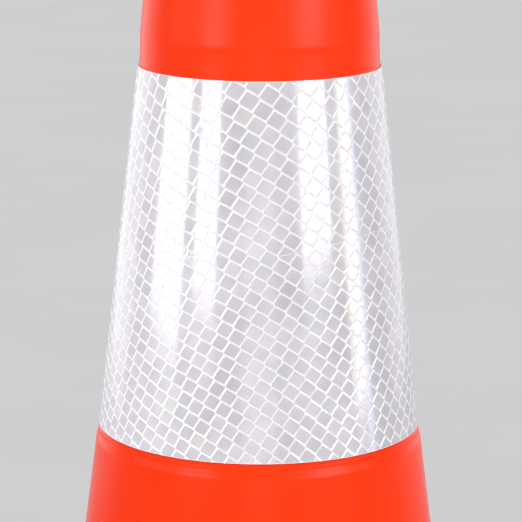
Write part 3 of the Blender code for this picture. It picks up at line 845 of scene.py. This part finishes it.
def film_material():
    m = Nodes("prismatic_film_clear")
    dev = m.attribute("dev").outputs["Vector"]
    local = m.attribute("local").outputs["Vector"]
    seal = m.attribute("seal").outputs["Fac"]
    cell = m.attribute("cell").outputs["Fac"]
    height = m.attribute("height").outputs["Fac"]
    sep = m.new("ShaderNodeSeparateXYZ")
    m.link(dev, sep.inputs[0])
    x, y, s = sep.outputs["X"], sep.outputs["Y"], sep.outputs["Z"]

    def line(x0, y0, x1, y1, half):
        """Mask of a thin straight line on the flat sheet, in mm."""
        lx, ly = x1 - x0, y1 - y0
        size = math.hypot(lx, ly)
        lx, ly = lx / size, ly / size
        along = m.math("ADD", m.math("MULTIPLY", x, lx / MM), m.math("MULTIPLY", y, ly / MM))
        along = m.math("SUBTRACT", along, x0 * lx + y0 * ly)
        across = m.math("ADD", m.math("MULTIPLY", x, -ly / MM), m.math("MULTIPLY", y, lx / MM))
        across = m.math("ABSOLUTE", m.math("SUBTRACT", across, -x0 * ly + y0 * lx))
        thin = m.ramp(across, half * 0.6, half * 1.5, 1.0, 0.0)
        ends = m.math("MULTIPLY", m.ramp(along, 0.0, 0.8), m.ramp(along, size - 0.8, size, 1.0, 0.0))
        return m.math("MULTIPLY", thin, ends)

    rim = m.math("MINIMUM", height, m.math("SUBTRACT", 1.0, height))
    border = m.ramp(rim, 0.0008, 0.0022, 1.0, 0.0)
    mask = m.math("MAXIMUM", m.ramp(seal, 0.30, 0.70), border)
    # joints between tiles of the embossing tool, with a chipped crossing
    joint = None
    for ends in ((6.5, -6.9, 88.0, -21.0), (-34.0, -5.2, -23.5, -6.9), (-31.5, -9.8, -27.0, -2.6),
                 (-26.2, -9.6, -31.0, -2.9)):
        one = line(*ends, 0.15)
        joint = one if joint is None else m.math("MAXIMUM", joint, one)
    broken = m.ramp(m.noise(dev, 160.0, 2.0), 0.36, 0.52, 0.35, 1.0)
    mask = m.math("MAXIMUM", mask, m.math("MULTIPLY", joint, broken))
    # weld band along the rear overlap
    weld = m.math("MULTIPLY", m.ramp(s, (S_MAX - 5.1) * MM, (S_MAX - 4.5) * MM, 0.0, 1.0),
                  m.ramp(s, (S_MAX - 1.2) * MM, (S_MAX - 0.8) * MM, 1.0, 0.0))
    # prism rows: three sets of fine grooves at 60 degrees
    rows = None
    for deg in (12.0, 72.0, 132.0):
        a = math.radians(deg)
        d = m.vmath("DOT_PRODUCT", dev, (math.cos(a), math.sin(a), 0.0))
        tri = m.math("MULTIPLY", m.math("PINGPONG", d, 0.00015), 1.0 / 0.00015)
        rows = tri if rows is None else m.math("ADD", rows, tri)
    rows = m.math("MULTIPLY", rows, 1.0 / 3.0)
    # each cell leans its own way in the mesh, and a painted shade gradient runs across it in a direction of its
    # own
    turn = m.math("MULTIPLY", cell, 2 * math.pi * 7)
    lsep = m.new("ShaderNodeSeparateXYZ")
    m.link(local, lsep.inputs[0])
    painted_cell_shade = m.math("ADD", m.math("MULTIPLY", lsep.outputs["X"], m.math("COSINE", turn)),
                   m.math("MULTIPLY", lsep.outputs["Y"], m.math("SINE", turn)))
    patch = m.noise(dev, 24.0, 2.0, 0.5)
    fleck = m.noise(dev, 1100.0, 2.0, 0.6)
    grey = m.math("MULTIPLY", m.math("SUBTRACT", cell, 0.5), 0.48)
    # painted shade: one side of each cell is painted lighter, the other darker
    grey = m.math("ADD", grey, m.math("MULTIPLY", painted_cell_shade, 0.15))
    grey = m.math("ADD", grey, m.math("MULTIPLY", m.math("SUBTRACT", patch, 0.5), 1.5))
    grey = m.math("ADD", grey, m.math("MULTIPLY", m.math("SUBTRACT", fleck, 0.5), 0.65))
    grey = m.math("ADD", grey, m.math("MULTIPLY", m.math("SUBTRACT", rows, 0.5), 0.30))
    cells = m.mix(m.math("ADD", grey, 0.5, clamp=True), rgba(0.500, 0.478, 0.512), rgba(0.660, 0.636, 0.676))
    tint = m.math("MULTIPLY", m.ramp(cell, 0.94, 0.97), 0.3)
    cells = m.mix(tint, cells, rgba(0.66, 0.64, 0.58))
    tint = m.math("MULTIPLY", m.ramp(cell, 0.03, 0.06, 1.0, 0.0), 0.3)
    cells = m.mix(tint, cells, rgba(0.53, 0.57, 0.62))
    seals = m.mix(m.ramp(m.noise(dev, 300.0, 2.0), 0.35, 0.7), rgba(0.83, 0.805, 0.855), rgba(0.91, 0.885, 0.93))
    # painted shade: a fine dark line runs round each cell, where the seal wall drops
    foot = m.math("MULTIPLY", m.ramp(seal, 0.02, 0.20), m.ramp(seal, 0.30, 0.45, 1.0, 0.0))
    cells = m.mix(m.math("MULTIPLY", foot, 0.30), cells, rgba(0.40, 0.385, 0.42))
    colour = m.mix(mask, cells, seals)
    colour = m.mix(m.math("MULTIPLY", weld, 0.8), colour, rgba(0.90, 0.89, 0.92))
    scuff = m.ramp(m.noise(m.vmath("MULTIPLY", dev, (1.0, 5.0, 1.0)), 90.0, 3.0, 0.7, 0.8), 0.70, 0.75)
    rough = m.ramp(mask, 0.0, 1.0, 0.42, 0.55)
    rough = m.math("ADD", rough, m.math("MULTIPLY", scuff, 0.12))
    micro = m.math("MULTIPLY", rows, m.math("SUBTRACT", 1.0, mask))
    normal = m.bump(micro, 0.20, 0.00008)
    stitch_x = m.math("PINGPONG", s, 0.0006)
    stitch_y = m.math("PINGPONG", m.math("MULTIPLY", height, SLEEVE_H * MM), 0.0006)
    knurl = m.math("MULTIPLY", m.math("MULTIPLY", m.math("ADD", stitch_x, stitch_y), 800.0), weld)
    normal = m.bump(knurl, 0.5, 0.0003, normal)
    ripple = m.noise(m.vmath("MULTIPLY", dev, (1.0, 0.35, 0.0)), 45.0, 2.0, 0.5)
    coat_n = m.bump(ripple, 0.035, 0.002)
    coat_n = m.bump(scuff, -0.08, 0.0002, coat_n)
    coat_n = m.bump(m.math("MAXIMUM", m.ramp(seal, 0.0, 1.0), joint), -0.35, 0.00004, coat_n)
    m.set(Base_Color=colour, Roughness=rough, Normal=normal)
    m.link(coat_n, m.shader.inputs["Coat Normal"])
    m.shader.inputs["IOR"].default_value = 1.45
    m.shader.inputs["Specular IOR Level"].default_value = 0.12
    m.shader.inputs["Coat Weight"].default_value = 1.0
    m.shader.inputs["Coat Roughness"].default_value = 0.12
    m.shader.inputs["Coat IOR"].default_value = 1.585
    return m.mat


def backing_material():
    m = Nodes("white_backing_sheet")
    co = m.coords()
    sep = m.new("ShaderNodeSeparateXYZ")
    m.link(co, sep.inputs[0])
    # fine linen grain of the calendered sheet
    ang = m.math("ARCTAN2", sep.outputs["Y"], sep.outputs["X"])
    warp_t = m.math("PINGPONG", m.math("MULTIPLY", ang, 0.058), 0.0005)
    weft_t = m.math("PINGPONG", sep.outputs["Z"], 0.0005)
    weave = m.math("MULTIPLY", m.math("ADD", warp_t, weft_t), 1000.0)
    tone = m.noise(co, 60.0, 4.0, 0.6)
    colour = m.mix(m.ramp(tone, 0.3, 0.75), rgba(0.80, 0.80, 0.81), rgba(0.88, 0.88, 0.88))
    m.set(Base_Color=colour, Roughness=m.ramp(tone, 0.3, 0.7, 0.45, 0.58),
          Normal=m.bump(weave, 0.35, 0.00015))
    return m.mat


# ------------------------------------------------------------ object
shell = build_shell()
shell.data.materials.append(pvc_material())
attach(shell, "cone")
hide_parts("cone_body")

base = build_base()
base.data.materials.append(rubber_material())
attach(base, "cone")
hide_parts("weighted_base")

film = build_film()
film.data.materials.append(film_material())
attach(film, "sleeve")
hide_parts("sleeve_face_film")

backing = build_backing()
backing.data.materials.append(backing_material())
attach(backing, "sleeve")
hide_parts("sleeve_backing")


# ------------------------------------------------------------ stage, light, camera
def build_floor():
    verts = [(-30, -30, -0.0004), (30, -30, -0.0004), (30, 30, -0.0004), (-30, 30, -0.0004)]
    mesh = bpy.data.meshes.new("floor")
    mesh.from_pydata(verts, [], [(0, 1, 2, 3)])
    obj = bpy.data.objects.new("floor", mesh)
    bpy.context.scene.collection.objects.link(obj)
    m = Nodes("pale_floor")
    m.set(Base_Color=m.mix(m.ramp(m.noise(m.coords(), 3.0, 3.0), 0.3, 0.7),
                           rgba(0.66, 0.66, 0.665), rgba(0.68, 0.68, 0.685)), Roughness=0.9)
    m.shader.inputs["Specular IOR Level"].default_value = 0.0
    mesh.materials.append(m.mat)
    return obj


def softbox(name, first, last, low, high, radiance, colour=(1.0, 1.0, 1.0), distance=2.2, on=None):
    """Upright area light facing the axis, between two azimuths (degrees from
    the front, positive towards +X) and two heights."""
    mid = math.radians((first + last) / 2)
    width = 2 * distance * math.tan(math.radians(abs(last - first) / 2))
    data = bpy.data.lights.new(name, "AREA")
    data.shape = "RECTANGLE"
    data.size, data.size_y = width, high - low
    data.energy = radiance * math.pi * width * (high - low)
    data.color = colour
    obj = bpy.data.objects.new(name, data)
    bpy.context.scene.collection.objects.link(obj)
    obj.location = (math.sin(mid) * distance, -math.cos(mid) * distance, (low + high) / 2)
    obj.rotation_euler = (math.pi / 2, 0.0, mid)
    obj.visible_camera = False
    obj.light_linking.receiver_collection = on or lit
    return obj


lit = bpy.data.collections.new("lit_by_softboxes")
for piece in (shell, base, film, backing):
    lit.objects.link(piece)
# the sleeve and base take the boxes to their full height, the satin vinyl
# takes the same boxes flagged off below
lit_sleeve = bpy.data.collections.new("lit_sleeve_and_base")
for piece in (base, film, backing):
    lit_sleeve.objects.link(piece)
lit_vinyl = bpy.data.collections.new("lit_vinyl")
lit_vinyl.objects.link(shell)


floor = build_floor()
softbox("front_right", 35.0, 60.5, 0.492, 0.92, 12.5, on=lit_sleeve)
softbox("front_right_high", 36.0, 61.0, 0.62, 1.02, 9.0, on=lit_vinyl)
softbox("front_right_soft", 16.0, 86.0, 0.62, 1.02, 2.4, on=lit_vinyl)
softbox("front_right_edge", 31.0, 35.0, 0.52, 0.90, 1.6, (0.95, 0.92, 1.0))
for strip in (softbox("side_right", 76.0, 85.0, 0.25, 0.72, 12.5, on=lit_sleeve),
              softbox("side_right_warm", 72.5, 75.5, 0.27, 0.72, 7.0, (1.0, 0.84, 0.55), on=lit_sleeve),
              softbox("side_right_cool", 85.0, 89.5, 0.12, 0.70, 6.5, (0.60, 0.62, 1.0), on=lit_sleeve)):
    strip.visible_diffuse = False        # a glare strip: it adds a highlight, not fill
softbox("front_left", -53.0, -34.5, 0.46, 0.92, 10.5, on=lit_sleeve)
softbox("front_left_high", -53.0, -34.5, 0.62, 1.02, 8.5, on=lit_vinyl)
softbox("side_left", -92.0, -63.0, 0.33, 0.86, 8.5, on=lit_sleeve)
softbox("front_left_soft", -92.0, -20.0, 0.62, 1.02, 2.4, on=lit_vinyl)
softbox("front_low", -11.0, 13.0, 0.24, 0.70, 1.7)
softbox("rear_right", 115.0, 155.0, 0.0, 0.90, 0.72, (0.95, 0.94, 1.0), 2.6)
softbox("rear_left", -155.0, -115.0, 0.0, 0.90, 0.9, (1.0, 1.0, 1.0), 2.6)

for name, x, y, size, radiance in (("overhead", 0.0, 0.4, 3.2, 1.5), ("wash_rear", 0.0, 7.0, 7.0, 1.2),
                                   ("wash_left", -7.0, 0.0, 7.0, 0.5), ("wash_right", 7.0, 0.0, 7.0, 0.5),
                                   ("wash_front", 0.0, -7.0, 7.0, 0.5)):
    wash = bpy.data.lights.new(name, "AREA")
    wash.shape = "SQUARE"
    wash.size = size
    wash.energy = radiance * math.pi * size ** 2
    wash_obj = bpy.data.objects.new(name, wash)
    wash_obj.location = (x, y, 3.8)
    wash_obj.visible_camera = False
    bpy.context.scene.collection.objects.link(wash_obj)
    wash_obj.light_linking.receiver_collection = lit

# one broad even light for the floor, out to the horizon
lit_floor = bpy.data.collections.new("lit_by_sky_panel")
lit_floor.objects.link(floor)
panel = bpy.data.lights.new("sky_panel", "SUN")
panel.angle = math.radians(50.0)
panel.energy = 1.62
panel_obj = bpy.data.objects.new("sky_panel", panel)
panel_obj.location = (0.0, 0.0, 4.0)
bpy.context.scene.collection.objects.link(panel_obj)
panel_obj.light_linking.receiver_collection = lit_floor

world = bpy.data.worlds.new("studio")
world.use_nodes = True
wt = world.node_tree
bg = wt.nodes["Background"]
bg.inputs["Color"].default_value = (0.985, 0.985, 1.0, 1.0)
bg.inputs["Strength"].default_value = 0.42
seen = wt.nodes.new("ShaderNodeBackground")
seen.inputs["Color"].default_value = (0.99, 0.99, 1.0, 1.0)
seen.inputs["Strength"].default_value = 0.62
path = wt.nodes.new("ShaderNodeLightPath")
pick = wt.nodes.new("ShaderNodeMixShader")
wt.links.new(path.outputs["Is Camera Ray"], pick.inputs[0])
wt.links.new(bg.outputs[0], pick.inputs[1])
wt.links.new(seen.outputs[0], pick.inputs[2])
wt.links.new(pick.outputs[0], wt.nodes["World Output"].inputs["Surface"])
bpy.context.scene.world = world

camera_data = bpy.data.cameras.new("camera")
camera_data.sensor_width = 36.0
camera_data.sensor_fit = "HORIZONTAL"
FOCAL_PX = 2657.6
camera_data.lens = FOCAL_PX / 522.0 * 36.0
camera = bpy.data.objects.new("camera", camera_data)
bpy.context.scene.collection.objects.link(camera)
camera.location = (0.0008, -1.0762, SLEEVE_TOP * MM + 0.1514)
camera.rotation_euler = (math.radians(90.0 - 12.25), 0.0, 0.0)
roll = math.radians(0.21)
camera.rotation_euler = (camera.rotation_euler.to_matrix() @
                         Matrix.Rotation(roll, 3, "Z")).to_euler()
camera_data.clip_end = 100.0
bpy.context.scene.camera = camera
bpy.context.scene.view_settings.view_transform = "Standard"
